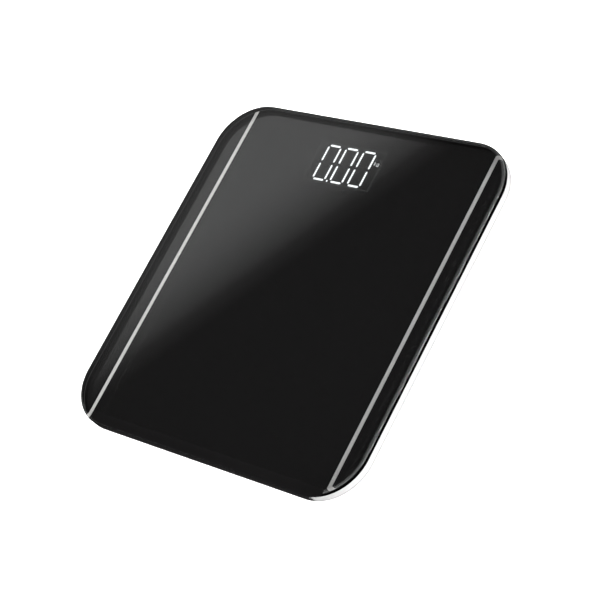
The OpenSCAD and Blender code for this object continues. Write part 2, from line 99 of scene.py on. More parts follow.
# Routes of the leads, in millimetres; the cells on the left mirror those on the right
FRONT_ROUTE = ((82, -68, 9.25), (82, -62, 9.4), (78, -52, 8.6), (64, -40, 8.3), (50, -14, 8.3),
               (42, 24, 8.3), (32, 56, 8.3), (22, 70, 8.6), (20, 78.2, 9))
REAR_ROUTE = ((82, 68, 9.25), (82, 63, 9.4), (75, 56, 8.6), (60, 55, 8.3), (44, 63, 8.3),
              (35, 71, 8.6), (34, 78.2, 9))
BATTERY_ROUTE = ((14, -58, 9), (14, -50, 8.6), (4, -36, 8.3), (-4, 0, 8.3), (-4, 44, 8.3),
                 (0, 68, 8.6), (0, 78.2, 9))
LEAD_LAY = 14 * MM
LEAD_STEP = 1.2 * MM
THREAD_PITCH = 0.8 * MM

# ---- Tones of the glass, the print and the studio ----

GLASS_TINT = (0.985, 0.995, 0.99, 1.0)
GLASS_IOR = 1.52
GLOSS_IOR = 1.7
SHEET_BLACK = (0.0015, 0.0013, 0.0014)
FOIL_SILVER = (0.74, 0.70, 0.70)
# The left stripe has less metal, so more of it is lit diffusely and it reads brighter than the right:
# painted light, lit and shaded copies of one foil
LIT_LEFT_FOIL_METAL = 0.62
SHADED_RIGHT_FOIL_METAL = 0.82
SEGMENT_GLOW = 1.15
UNIT_GLOW = 0.42

# What the gloss mirrors: a pale backdrop on one side of a plane, and a dark room beyond it
BACKDROP_NORMAL = (0.5725, -0.4187, 0.7049)
BRIGHT = 0.445
DARK = 0.042
BACKDROP_EDGE = ((-0.027, BRIGHT), (-0.0145, 0.79 * BRIGHT), (-0.007, 0.6 * BRIGHT),
                 (0.0, 0.4 * BRIGHT), (0.005, 0.2 * BRIGHT), (0.013, DARK))
BELOW = 0.04
PALE = 0.93
AMBIENT = 0.55
FLOOR_GLOW = 0.85
FLOOR_HALF = 6.0
LAMP_AIM = (0, 0, 0.02)

CAMERA_LENS = 112.72
CAMERA_SENSOR = 36.0
CAMERA_AT = (0.8293, -0.3533, 0.9482)
CAMERA_RIGHT = (0.74685, 0.45153, -0.48820)
CAMERA_UP = (-0.19384, 0.85007, 0.48970)


# ---- Small makers ----

def shown(name, mesh):
    """A new object for a mesh, in the scene."""
    obj = bpy.data.objects.new(name, mesh)
    scene.collection.objects.link(obj)
    return obj


def finish_piece(obj, body, materials, node):
    """Gives a piece its materials, its body and the CAD node that it stands for."""
    tags = [face.material_index for face in obj.data.polygons]
    obj.data.materials.clear()
    for mat in materials:
        obj.data.materials.append(mat)
    last = len(materials) - 1
    obj.data.polygons.foreach_set("material_index", [min(tag, last) for tag in tags])
    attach(obj, body)
    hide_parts(node)


def mesh_from(name, verts, faces, tags=None, smooth_angle=35):
    """A mesh from points in metres, with faces pointing outwards."""
    mesh = bpy.data.meshes.new(name)
    mesh.from_pydata([tuple(v) for v in verts], [], faces)
    if tags is not None:
        mesh.polygons.foreach_set("material_index", tags)
    bm = bmesh.new()
    bm.from_mesh(mesh)
    bmesh.ops.recalc_face_normals(bm, faces=bm.faces)
    bm.to_mesh(mesh)
    bm.free()
    mesh.shade_smooth()
    mesh.set_sharp_from_angle(angle=math.radians(smooth_angle))
    return mesh


def baked(obj):
    """Applies the modifiers of an object to its mesh."""
    depsgraph = bpy.context.evaluated_depsgraph_get()
    mesh = bpy.data.meshes.new_from_object(obj.evaluated_get(depsgraph))
    old = obj.data
    obj.modifiers.clear()
    obj.data = mesh
    bpy.data.meshes.remove(old)
    return obj


def merged_copy(node, name):
    """A clean copy of a CAD mesh: doubles merged and flat faces joined up."""
    mesh = nodes[node].data.copy()
    mesh.name = name
    if "custom_normal" in mesh.attributes:
        mesh.attributes.remove(mesh.attributes["custom_normal"])
    bm = bmesh.new()
    bm.from_mesh(mesh)
    bmesh.ops.remove_doubles(bm, verts=bm.verts, dist=2e-6)
    bmesh.ops.dissolve_limit(bm, angle_limit=FLAT_ANGLE, verts=bm.verts, edges=bm.edges)
    bmesh.ops.recalc_face_normals(bm, faces=bm.faces)
    bm.to_mesh(mesh)
    bm.free()
    return mesh


def soft_part(node, name, body, material, width, segments=2):
    """Stands for a CAD node with a copy whose sharp edges are as round as a mould leaves them."""
    obj = shown(name, merged_copy(node, name))
    bevel = obj.modifiers.new("soft edges", "BEVEL")
    bevel.width = width
    bevel.segments = segments
    bevel.limit_method = "ANGLE"
    bevel.angle_limit = SOFT_EDGE_ANGLE
    bevel.use_clamp_overlap = True
    bevel.harden_normals = False
    baked(obj)
    obj.data.shade_smooth()
    obj.data.set_sharp_from_angle(angle=SMOOTH_ANGLE)
    finish_piece(obj, body, [material], node)


def rounded_outline(width, length, radius, steps):
    """Points round a rectangle with round corners, anticlockwise."""
    points = []
    for corner, (sx, sy) in enumerate(((1, 1), (-1, 1), (-1, -1), (1, -1))):
        cx = sx * (width / 2 - radius)
        cy = sy * (length / 2 - radius)
        for i in range(steps + 1):
            a = math.pi / 2 * (corner + i / steps)
            points.append((cx + radius * math.cos(a), cy + radius * math.sin(a)))
    return points


def parts_of(mesh):
    """The lists of vertices of the separate parts of a mesh, each with its lowest and highest corner."""
    links = {v.index: [] for v in mesh.vertices}
    for edge in mesh.edges:
        first, second = edge.vertices
        links[first].append(second)
        links[second].append(first)
    seen, found = set(), []
    for start in links:
        if start in seen:
            continue
        seen.add(start)
        group, todo = [], [start]
        while todo:
            at = todo.pop()
            group.append(at)
            for other in links[at]:
                if other not in seen:
                    seen.add(other)
                    todo.append(other)
        points = [mesh.vertices[i].co for i in group]
        low = Vector([min(p[k] for p in points) for k in range(3)])
        high = Vector([max(p[k] for p in points) for k in range(3)])
        found.append((group, low, high))
    return found


# ---- Shader helpers ----

def sockets(node, values):
    """Fills inputs of a node: with a link where the value is a socket, else with the value itself."""
    for key, value in values.items():
        if isinstance(value, bpy.types.NodeSocket):
            node.id_data.links.new(value, node.inputs[key])
        else:
            node.inputs[key].default_value = value


def add(tree, kind, values=None, **settings):
    """Adds a node with its settings and its inputs."""
    node = tree.nodes.new(kind)
    for key, value in settings.items():
        setattr(node, key, value)
    sockets(node, values or {})
    return node


def maths(tree, operation, a, b=0.0, clamp=False):
    """A Math node whose two inputs are numbers or sockets."""
    return add(tree, "ShaderNodeMath", {0: a, 1: b}, operation=operation, use_clamp=clamp).outputs[0]


def worker(operation):
    """A short name for one operation of the Math node."""
    return lambda tree, a, b=0.0, clamp=False: maths(tree, operation, a, b, clamp)


plus = worker("ADD")
minus = worker("SUBTRACT")
times = worker("MULTIPLY")
over = worker("DIVIDE")
greater = worker("GREATER_THAN")
less = worker("LESS_THAN")
larger_of = worker("MAXIMUM")
size_of = worker("ABSOLUTE")


def axes(tree, vector):
    """X, Y and Z of a vector."""
    return add(tree, "ShaderNodeSeparateXYZ", {0: vector}).outputs


def blend_colour(tree, factor, first, second):
    """A colour mix; each input is a colour, a number or a socket."""
    node = add(tree, "ShaderNodeMix", data_type="RGBA")
    places = {socket.identifier: i for i, socket in enumerate(node.inputs)}
    for key, value in (("Factor_Float", factor), ("A_Color", first), ("B_Color", second)):
        sockets(node, {places[key]: (*value, 1.0) if isinstance(value, tuple) else value})
    return next(socket for socket in node.outputs if socket.identifier == "Result_Color")


def blend_shader(tree, factor, first, second):
    return add(tree, "ShaderNodeMixShader", {0: factor, 1: first, 2: second}).outputs[0]


def new_material(name):
    mat = bpy.data.materials.new(name)
    mat.use_nodes = True
    return mat, mat.node_tree, mat.node_tree.nodes["Principled BSDF"]


def own_space(tree):
    """Coordinates of the piece itself, in metres."""
    return add(tree, "ShaderNodeTexCoord").outputs["Object"]


def is_inside(tree):
    """One where the surface is seen from behind."""
    return add(tree, "ShaderNodeNewGeometry").outputs["Backfacing"]


def show(tree, surface):
    sockets(tree.nodes["Material Output"], {"Surface": surface})


def shader_group(name, inputs, outputs):
    """An empty shader node group with named float, vector and colour sockets."""
    tree = bpy.data.node_groups.new(name, "ShaderNodeTree")
    for way, wanted in (("INPUT", inputs), ("OUTPUT", outputs)):
        for key, kind in wanted.items():
            tree.interface.new_socket(key, in_out=way, socket_type="NodeSocket" + kind)
    return tree, tree.nodes.new("NodeGroupInput").outputs, tree.nodes.new("NodeGroupOutput")


def place_group(tree, group, vector, values):
    """Puts a shared group into a material; returns its outputs."""
    node = add(tree, "ShaderNodeGroup", node_tree=group)
    sockets(node, {"Vector": vector, **values})
    return node.outputs


# ---- Shader groups that several finishes share ----

def make_grain():
    """Spark-eroded mould texture: a fine pitted height."""
    tree, source, sink = shader_group("mould grain", {"Vector": "Vector", "Scale": "Float"},
                                      {"Height": "Float"})
    spot = {"Vector": source["Vector"], "Scale": source["Scale"]}
    cloud = add(tree, "ShaderNodeTexNoise", {"Detail": 3.0, "Roughness": 0.6, **spot})
    cells = add(tree, "ShaderNodeTexVoronoi", spot, feature="SMOOTH_F1")
    pits = times(tree, cells.outputs["Distance"], 0.4)
    sockets(sink, {"Height": plus(tree, cloud.outputs["Fac"], pits)})
    return tree


def make_drift():
    """Slow drift of tone over a moulding or a casting, with a few paler specks of dust."""
    tree, source, sink = shader_group(
        "tone drift", {"Vector": "Vector", "Color": "Color", "Scale": "Float", "Amount": "Float",
                       "Dust": "Float"}, {"Color": "Color"})
    slow = add(tree, "ShaderNodeTexNoise", {"Detail": 4.0, "Roughness": 0.55, "Scale": source["Scale"],
                                            "Vector": source["Vector"]})
    speck = add(tree, "ShaderNodeTexNoise", {"Scale": 2600.0, "Detail": 1.0, "Vector": source["Vector"]})
    swing = times(tree, minus(tree, slow.outputs["Fac"], 0.5), 2.0)
    gain = plus(tree, times(tree, swing, source["Amount"]), 1.0)
    scaled = add(tree, "ShaderNodeVectorMath", {0: source["Color"], "Scale": gain}, operation="SCALE")
    fleck = times(tree, minus(tree, speck.outputs["Fac"], 0.68), 8.0, clamp=True)
    mixed = blend_colour(tree, times(tree, fleck, source["Dust"]), scaled.outputs[0], (0.5, 0.49, 0.46))
    sockets(sink, {"Color": mixed})
    return tree


def make_marks():
    """Roughness of a handled surface: faint smears and fine hairline scratches."""
    tree, source, sink = shader_group(
        "handling marks", {"Vector": "Vector", "Roughness": "Float", "Smears": "Float",
                           "Scratches": "Float"}, {"Roughness": "Float"})
    smear = add(tree, "ShaderNodeTexNoise", {"Scale": 9.0, "Detail": 5.0, "Distortion": 1.2,
                                             "Vector": source["Vector"]})
    squash = add(tree, "ShaderNodeMapping", {"Rotation": (0.3, 0.2, 0.6), "Scale": (900.0, 14.0, 60.0),
                                             "Vector": source["Vector"]})
    scratch = add(tree, "ShaderNodeTexNoise", {"Scale": 1.0, "Detail": 2.0,
                                               "Vector": squash.outputs["Vector"]})
    smears = times(tree, minus(tree, smear.outputs["Fac"], 0.5), source["Smears"])
    line = times(tree, minus(tree, scratch.outputs["Fac"], 0.66), 9.0, clamp=True)
    total = plus(tree, plus(tree, source["Roughness"], smears), times(tree, line, source["Scratches"]))
    sockets(sink, {"Roughness": larger_of(tree, total, 0.0)})
    return tree


def make_brushing():
    """Lines of rolled, brushed or ground metal along one direction."""
    tree, source, sink = shader_group(
        "brushed lines", {"Vector": "Vector", "Stretch": "Vector", "Roughness": "Float",
                          "Spread": "Float"}, {"Roughness": "Float", "Height": "Float"})
    squash = add(tree, "ShaderNodeVectorMath", {0: source["Vector"], 1: source["Stretch"]},
                 operation="MULTIPLY")
    lines = add(tree, "ShaderNodeTexNoise", {"Scale": 1.0, "Detail": 4.0, "Roughness": 0.7,
                                             "Vector": squash.outputs[0]}).outputs["Fac"]
    swing = times(tree, minus(tree, lines, 0.5), source["Spread"])
    total = plus(tree, source["Roughness"], swing)
    sockets(sink, {"Roughness": larger_of(tree, total, 0.02), "Height": lines})
    return tree


GRAIN = make_grain()
DRIFT = make_drift()
MARKS = make_marks()
BRUSHING = make_brushing()


def toned(tree, vector, colour, amount, scale=22.0, dust=0.0):
    """A colour that drifts slowly over the piece."""
    values = {"Color": (*colour, 1.0), "Amount": amount, "Scale": scale, "Dust": dust}
    return place_group(tree, DRIFT, vector, values)["Color"]


def coat(tree, principled, vector, colour, roughness, smears=0.05, scratches=0.03):
    """Gives a shader its colour and its roughness with handling marks."""
    values = {"Roughness": roughness, "Smears": smears, "Scratches": scratches}
    marks = place_group(tree, MARKS, vector, values)
    sockets(principled, {"Base Color": colour, "Roughness": marks["Roughness"]})


def pitted(tree, vector, scale):
    return place_group(tree, GRAIN, vector, {"Scale": scale})["Height"]


def bump(tree, principled, height, strength, distance):
    node = add(tree, "ShaderNodeBump", {"Strength": strength, "Distance": distance, "Height": height})
    sockets(principled, {"Normal": node.outputs["Normal"]})


def moulded(name, colour, roughness, grain=1800.0, depth=0.02 * MM, strength=0.35, drift=0.12,
            dust=0.02, smears=0.08, scratches=0.05, lacquer=0.0, specular=0.5):
    """Moulded plastic, rubber or foam."""
    mat, tree, principled = new_material(name)
    vector = own_space(tree)
    tone = toned(tree, vector, colour, drift, dust=dust)
    coat(tree, principled, vector, tone, roughness, smears, scratches)
    bump(tree, principled, pitted(tree, vector, grain), strength, depth)
    sockets(principled, {"Coat Weight": lacquer, "Specular IOR Level": specular})
    return mat


def metal(name, colour, roughness, stretch, spread=0.2, strength=0.15, metallic=1.0):
    """Rolled, plated or stamped metal."""
    mat, tree, principled = new_material(name)
    vector = own_space(tree)
    lines = place_group(tree, BRUSHING, vector, {"Stretch": stretch, "Roughness": roughness,
                                                 "Spread": spread})
    sockets(principled, {"Base Color": toned(tree, vector, colour, 0.08), "Metallic": metallic,
                         "Roughness": lines["Roughness"]})
    bump(tree, principled, lines["Height"], strength, 0.01 * MM)
    return mat


# ---- Finishes of the glass and of what lies under it ----

def clear_glass(principled):
    sockets(principled, {"Base Color": GLASS_TINT, "Roughness": 0.0, "IOR": GLASS_IOR,
                         "Transmission Weight": 1.0})


def polished_glass():
    """Clear glass that lets the lamps reach what lies under it."""
    mat, tree, principled = new_material("polished glass")
    clear_glass(principled)
    is_shadow = add(tree, "ShaderNodeLightPath").outputs["Is Shadow Ray"]
    clear = add(tree, "ShaderNodeBsdfTransparent", {"Color": (0.9, 0.92, 0.91, 1.0)})
    show(tree, blend_shader(tree, is_shadow, principled.outputs[0], clear.outputs[0]))
    return mat


def ground_rim():
    """The straight wall: clear between the stripes, milky beyond; seen from inside it is painted black,
    as painted shade.
    """
    mat, tree, principled = new_material("ground glass rim")
    clear_glass(principled)
    vector = own_space(tree)
    x, y, z = axes(tree, vector)
    tone = toned(tree, vector, (0.155, 0.156, 0.155), 0.04, scale=60.0)
    # The foot of the wall is painted darker: painted shade that draws a thin line there
    colour = blend_colour(tree, less(tree, z, WALL_SHADE_TOP_Z), tone, (0.085, 0.085, 0.085))
    satin = add(tree, "ShaderNodeBsdfPrincipled", {"Base Color": colour, "Roughness": 0.55,
                                                   "Coat Weight": 0.3, "Coat Roughness": 0.2})
    lines = place_group(tree, BRUSHING, vector, {"Stretch": (300.0, 300.0, 6000.0)})
    bump(tree, satin, lines["Height"], 0.2, 0.02 * MM)

    def beyond(value, start):
        return over(tree, minus(tree, value, start), FROST_FADE, clamp=True)

    at_sides = beyond(size_of(tree, x), FROST_FROM)
    at_front = times(tree, beyond(x, FRONT_FROST_FROM), less(tree, y, FRONT_FROST_Y))
    frosted = larger_of(tree, at_sides, at_front)
    inside = is_inside(tree)
    milky = times(tree, frosted, minus(tree, 1.0, inside))
    wall = blend_shader(tree, milky, principled.outputs[0], satin.outputs[0])
    # Seen from inside, the wall is painted black: painted shade in place of what the glass would mirror
    # there
    dark = add(tree, "ShaderNodeBsdfDiffuse", {"Color": (0.001, 0.001, 0.001, 1.0)})
    show(tree, blend_shader(tree, inside, wall, dark.outputs[0]))
    return mat


def gloss_black(name, window=None):
    """The hard black gloss of the sheet; round the edge of a window a thin paler line is painted, a
    painted highlight of the window's edge.
    """
    mat, tree, principled = new_material(name)
    vector = own_space(tree)
    colour = toned(tree, vector, SHEET_BLACK, 0.1)
    if window:
        x, y, _ = axes(tree, vector)
        low, high = window
        edge = 0.0
        for value, a, b in ((x, low.x, high.x), (y, low.y, high.y)):
            away = size_of(tree, minus(tree, value, (a + b) / 2))
            edge = larger_of(tree, greater(tree, away, (b - a) / 2 - WINDOW_GLINT_WIDTH), edge)
        # A paler line round the window: painted highlight of the window's edge
        colour = blend_colour(tree, edge, colour, (0.02, 0.02, 0.02))
    coat(tree, principled, vector, colour, 0.02, smears=0.01, scratches=0.0)
    sockets(principled, {"IOR": GLOSS_IOR})
    return mat


def silver_foil(name, metallic):
    return metal(name, FOIL_SILVER, 0.42, (5000.0, 90.0, 5000.0), 0.16, 0.12, metallic)


def lit_white(name, glow):
    """White light from behind a printed figure."""
    mat, tree, principled = new_material(name)
    white = toned(tree, own_space(tree), (0.95, 0.98, 1.0), 0.05, scale=90.0)
    sockets(principled, {"Base Color": (0.1, 0.1, 0.1, 1.0), "Roughness": 0.5,
                         "Emission Color": white, "Emission Strength": glow})
    return mat


GLASS = polished_glass()
# Black ink whose dark tone is painted shade for the front edge of the glass
SHADE_INK = moulded("black ink painted shade", (0.006, 0.0056, 0.0058), 0.6, grain=3000.0, strength=0.05, dust=0.0,
              specular=0.0)
RIM = ground_rim()
BLACK = gloss_black("gloss black sheet")
WINDOW = gloss_black("display window gloss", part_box("display_lens"))
# Lit and shaded copies of one foil: painted light
LEFT_FOIL = silver_foil("satin silver foil left", LIT_LEFT_FOIL_METAL)
RIGHT_FOIL = silver_foil("satin silver foil right", SHADED_RIGHT_FOIL_METAL)
LIT = lit_white("lit segment", SEGMENT_GLOW)
LIT_DIM = lit_white("lit unit", UNIT_GLOW)


# ---- The glass and what lies under it ----

def cut_shade_ink_strip(mesh):
    """Sets the ink on the underside along the front edge, between the stripes; the ink is painted shade
    that darkens the front edge.
    """
    bm = bmesh.new()
    bm.from_mesh(mesh)
    level = glass_low.z + 1e-6
    for point, normal in (((0, SHADE_INK_TO, 0), (0, 1, 0)), ((-SHADE_INK_HALF, 0, 0), (1, 0, 0)),
                          ((SHADE_INK_HALF, 0, 0), (1, 0, 0))):
        under = [f for f in bm.faces if all(v.co.z < level for v in f.verts)]
        edges = {e for f in under for e in f.edges}
        corners = {v for f in under for v in f.verts}
        bmesh.ops.bisect_plane(bm, geom=under + list(edges) + list(corners), plane_co=point,
                               plane_no=normal)
    for face in bm.faces:
        middle = face.calc_center_median()
        if middle.z < level and middle.y < SHADE_INK_TO and abs(middle.x) < SHADE_INK_HALF:
            face.material_index = 2
    bm.to_mesh(mesh)
    bm.free()


def glass_plate():
    """The plate, lofted through rings: arris below, straight wall, round edge, flat top."""
    round_steps = 18
    corner_steps = 56
    near = 0.04 * MM
    profile = [(ARRIS + 1.0 * MM, 0.0), (ARRIS + near, 0.0), (ARRIS, 0.0), (0.0, ARRIS),
               (0.0, ARRIS + near), (0.0, GLASS_T - EDGE_R - near)]
    for i in range(round_steps + 1):
        a = math.pi / 2 * i / round_steps
        profile.append((EDGE_R * (1 - math.cos(a)), GLASS_T - EDGE_R * (1 - math.sin(a))))
    profile.append((EDGE_R + 0.05 * MM, GLASS_T))
    profile.append((EDGE_R + 1.5 * MM, GLASS_T))
    rings = []
    for inset, height in profile:
        outline = rounded_outline(GLASS_W - 2 * inset, GLASS_L - 2 * inset, CORNER_R - inset,
                                  corner_steps)
        rings.append([(x, y, glass_low.z + height) for x, y in outline])
    count = len(rings[0])
    verts = [p for ring in rings for p in ring]
    faces = [list(range(count))[::-1]]
    tags = [0]
    wall_rings = (2, 3, 4)
    for r in range(len(rings) - 1):
        for k in range(count):
            nxt = (k + 1) % count
            faces.append([r * count + k, r * count + nxt, (r + 1) * count + nxt, (r + 1) * count + k])
            tags.append(1 if r in wall_rings else 0)
    top = (len(rings) - 1) * count
    faces.append([top + k for k in range(count)])
    tags.append(0)
    mesh = mesh_from("polished_plate", verts, faces, tags, 30)
    cut_shade_ink_strip(mesh)
    plate = shown("polished_plate", mesh)
    finish_piece(plate, "platform", [GLASS, RIM, SHADE_INK], "glass_platform")


def under_glass(node, name, mat):
    """A flat piece under the glass, with its top just clear of it so that the film of air shows."""
    mesh = merged_copy(node, name)
    top = glass_low.z - AIR_GAP
    for v in mesh.vertices:
        v.co.z = min(v.co.z, top)
    mesh.update()
    finish_piece(shown(name, mesh), "platform", [mat], node)


def lit_digits():
    """The lit bars just above the window, with the unit dimmer than the digits."""
    mesh = merged_copy("lit_segments", "lit_digits")
    window_top = glass_low.z - AIR_GAP
    unit_verts = set()
    for group, low, _ in parts_of(mesh):
        if low.x > UNIT_FROM:
            unit_verts.update(group)
        for i in group:
            point = mesh.vertices[i].co
            lift = 0.02 * MM if point.z > low.z + 0.05 * MM else 0.01 * MM
            point.z = window_top + lift
    for face in mesh.polygons:
        face.material_index = 1 if face.vertices[0] in unit_verts else 0
    mesh.update()
    bars = shown("lit_digits", mesh)
    finish_piece(bars, "platform", [LIT, LIT_DIM], "lit_segments")


glass_plate()
under_glass("print_sheet", "gloss_sheet", BLACK)
under_glass("stripe_left", "foil_stripe_left", LEFT_FOIL)
under_glass("stripe_right", "foil_stripe_right", RIGHT_FOIL)
under_glass("display_lens", "display_window", WINDOW)
lit_digits()


# ---- Finishes of the tray and the inner parts ----

def ribbed_rubber():
    """Rubber with fine moulded rings round the middle of every foot."""
    mat, tree, principled = new_material("foot rubber")
    vector = own_space(tree)
    tone = toned(tree, vector, (0.058, 0.058, 0.059), 0.25, scale=60.0, dust=0.12)
    coat(tree, principled, vector, tone, 0.72, smears=0.2, scratches=0.08)
    flat = add(tree, "ShaderNodeVectorMath", {0: vector}, operation="ABSOLUTE")
    centred = add(tree, "ShaderNodeVectorMath", {0: flat.outputs[0], 1: (FOOT_X, FOOT_Y, 0.0)},
                  operation="SUBTRACT")
    rings = add(tree, "ShaderNodeTexWave", {"Scale": 260.0, "Distortion": 0.0,
                                            "Vector": centred.outputs[0]},
                wave_type="RINGS", rings_direction="Z")
    ribs = times(tree, rings.outputs["Fac"], 3.0)
    bump(tree, principled, plus(tree, ribs, pitted(tree, vector, 2400.0)), 0.5, 0.05 * MM)
    return mat


def circuit_board():
    """Green solder resist over copper tracks, with tinned pads."""
    mat, tree, principled = new_material("circuit board")
    vector = own_space(tree)
    x, y, _ = axes(tree, vector)

    def cells(scale, randomness, distance):
        """Distances to scattered points, and the random colour of each point."""
        found = add(tree, "ShaderNodeTexVoronoi", {"Scale": scale, "Randomness": randomness,
                                                   "Vector": vector},
                    feature="F1", distance=distance)
        pick = add(tree, "ShaderNodeSeparateColor", {0: found.outputs["Color"]})
        return found.outputs["Distance"], pick.outputs["Red"], pick.outputs["Green"]

    _, turn, fill = cells(130.0, 0.9, "CHEBYCHEV")
    sideways = greater(tree, turn, 0.5)
    across = plus(tree, times(tree, x, sideways), times(tree, y, minus(tree, 1.0, sideways)))
    comb = maths(tree, "FRACT", times(tree, across, 900.0))
    track = times(tree, less(tree, comb, 0.42), greater(tree, fill, 0.35))
    away, chance, _ = cells(330.0, 0.7, "EUCLIDEAN")
    pad = times(tree, less(tree, away, 0.16), greater(tree, chance, 0.72))
    resist = toned(tree, vector, (0.012, 0.10, 0.045), 0.12)
    over_copper = blend_colour(tree, track, resist, (0.035, 0.20, 0.075))
    tinned = blend_colour(tree, pad, over_copper, (0.62, 0.62, 0.60))
    coat(tree, principled, vector, tinned, 0.3, smears=0.08)
    sockets(principled, {"Metallic": pad})
    bump(tree, principled, plus(tree, track, pad), 0.5, 0.035 * MM)
    return mat


def blank_label():
    """Silver film label with a printed border and empty ruled boxes."""
    mat, tree, principled = new_material("blank rating label")
    vector = own_space(tree)
    x, y, _ = axes(tree, vector)
    away_x = size_of(tree, x)
    away_y = size_of(tree, y)

    def near(value, place):
        return less(tree, size_of(tree, minus(tree, value, place)), LABEL_LINE)

    inside_x = less(tree, away_x, LABEL_X)
    inside_y = less(tree, away_y, LABEL_Y)
    printed = larger_of(tree, times(tree, near(away_x, LABEL_X), inside_y),
                        times(tree, near(away_y, LABEL_Y), inside_x))
    for rule in (LABEL_RULE, 0.0, -LABEL_RULE):
        printed = larger_of(tree, printed, times(tree, near(y, rule), inside_x))
    upright = times(tree, near(x, LABEL_RULE), less(tree, y, LABEL_RULE))
    printed = larger_of(tree, printed, times(tree, upright, inside_y))
    film = toned(tree, vector, (0.62, 0.62, 0.61), 0.05, scale=40.0, dust=0.03)
    colour = blend_colour(tree, printed, film, (0.03, 0.03, 0.03))
    coat(tree, principled, vector, colour, 0.42, smears=0.12, scratches=0.1)
    bump(tree, principled, pitted(tree, vector, 700.0), 0.12, 0.03 * MM)
    return mat


def layered_rubber():
    """Connector strip of thin dark and pale rubber layers."""
    mat, tree, principled = new_material("layered rubber")
    vector = own_space(tree)
    layers = add(tree, "ShaderNodeTexWave", {"Scale": 380.0, "Distortion": 0.0, "Vector": vector},
                 bands_direction="X").outputs["Fac"]
    body = toned(tree, vector, (0.55, 0.32, 0.30), 0.08)
    colour = blend_colour(tree, greater(tree, layers, 0.5), body, (0.03, 0.03, 0.03))
    coat(tree, principled, vector, colour, 0.6)
    bump(tree, principled, layers, 0.2, 0.02 * MM)
    return mat


def clear_acrylic():
    """The light guide: clear acrylic with a dotted white back that spreads the light."""
    mat, tree, principled = new_material("light guide acrylic")
    vector = own_space(tree)
    dots = add(tree, "ShaderNodeTexVoronoi", {"Scale": 700.0, "Randomness": 0.0, "Vector": vector},
               feature="F1")
    tone = toned(tree, vector, (0.72, 0.75, 0.76), 0.04)
    colour = blend_colour(tree, less(tree, dots.outputs["Distance"], 0.32), tone, (0.9, 0.9, 0.9))
    coat(tree, principled, vector, colour, 0.12)
    sockets(principled, {"Transmission Weight": 0.35, "IOR": 1.49})
    return mat


TRAY_PLASTIC = moulded("tray plastic", (0.024, 0.024, 0.025), 0.5, grain=1100.0, depth=0.05 * MM,
                       strength=0.5, drift=0.18, dust=0.05, smears=0.14)
DOOR_PLASTIC = moulded("cover plastic", (0.030, 0.030, 0.031), 0.44, grain=1300.0, depth=0.04 * MM,
                       strength=0.45, dust=0.03, smears=0.16)
FOOT_PLASTIC = moulded("foot plastic", (0.034, 0.034, 0.035), 0.38, grain=1700.0, depth=0.03 * MM,
                       strength=0.4, dust=0.03)
CARRIER_PLASTIC = moulded("carrier plastic", (0.16, 0.165, 0.17), 0.5, grain=1500.0, strength=0.4)
BUTTON_PLASTIC = moulded("button plastic", (0.16, 0.165, 0.175), 0.34, grain=2000.0, smears=0.18,
                         scratches=0.12)
PAD_RUBBER = ribbed_rubber()
TAPE_FOAM = moulded("foam tape", (0.035, 0.035, 0.036), 0.92, grain=900.0, depth=0.08 * MM,
                    strength=0.9, drift=0.2)
CELL_STEEL = metal("rolled steel", (0.56, 0.57, 0.58), 0.3, (4000.0, 50.0, 4000.0), spread=0.22,
                   strength=0.25)
SCREW_STEEL = metal("plated screw steel", (0.58, 0.58, 0.57), 0.26, (1500.0, 1500.0, 1500.0))
NICKEL = metal("nickel plate", (0.66, 0.645, 0.60), 0.2, (3000.0, 120.0, 3000.0), spread=0.12)
GAUGE_SILICONE = moulded("gauge silicone", (0.70, 0.69, 0.64), 0.4, grain=500.0, depth=0.06 * MM,
                         drift=0.1, lacquer=0.35)
IVORY = moulded("ivory nylon", (0.66, 0.62, 0.52), 0.42, grain=2200.0, strength=0.25, drift=0.06)
CHIP_EPOXY = moulded("chip epoxy", (0.020, 0.020, 0.021), 0.55, grain=3600.0, strength=0.3)
LED_EPOXY = moulded("led epoxy", (0.80, 0.66, 0.20), 0.25, grain=2600.0, strength=0.1, lacquer=0.6)
LCD_GLASS = moulded("display cell glass", (0.010, 0.010, 0.012), 0.08, grain=500.0,
                    depth=0.002 * MM, strength=0.05, smears=0.05, dust=0.01, lacquer=1.0)
BOARD = circuit_board()
LABEL = blank_label()
ZEBRA = layered_rubber()
GUIDE = clear_acrylic()
RED_SLEEVE = moulded("red wire", (0.52, 0.025, 0.020), 0.38, grain=2500.0, strength=0.1, drift=0.06)
BLACK_SLEEVE = moulded("black wire", (0.020, 0.020, 0.021), 0.38, grain=2500.0, strength=0.1)
WHITE_SLEEVE = moulded("white wire", (0.70, 0.69, 0.66), 0.4, grain=2500.0, strength=0.1, drift=0.06)
JACKET = moulded("cell jacket", (0.045, 0.055, 0.075), 0.24, grain=800.0, depth=0.01 * MM,
                 strength=0.08, smears=0.1, lacquer=0.6)
JACKET_BAND = moulded("cell jacket band", (0.45, 0.22, 0.10), 0.26, grain=800.0, depth=0.01 * MM,
                      strength=0.08, lacquer=0.6)


# ---- Moulded and pressed parts: CAD shapes with the soft edges of a mould ----

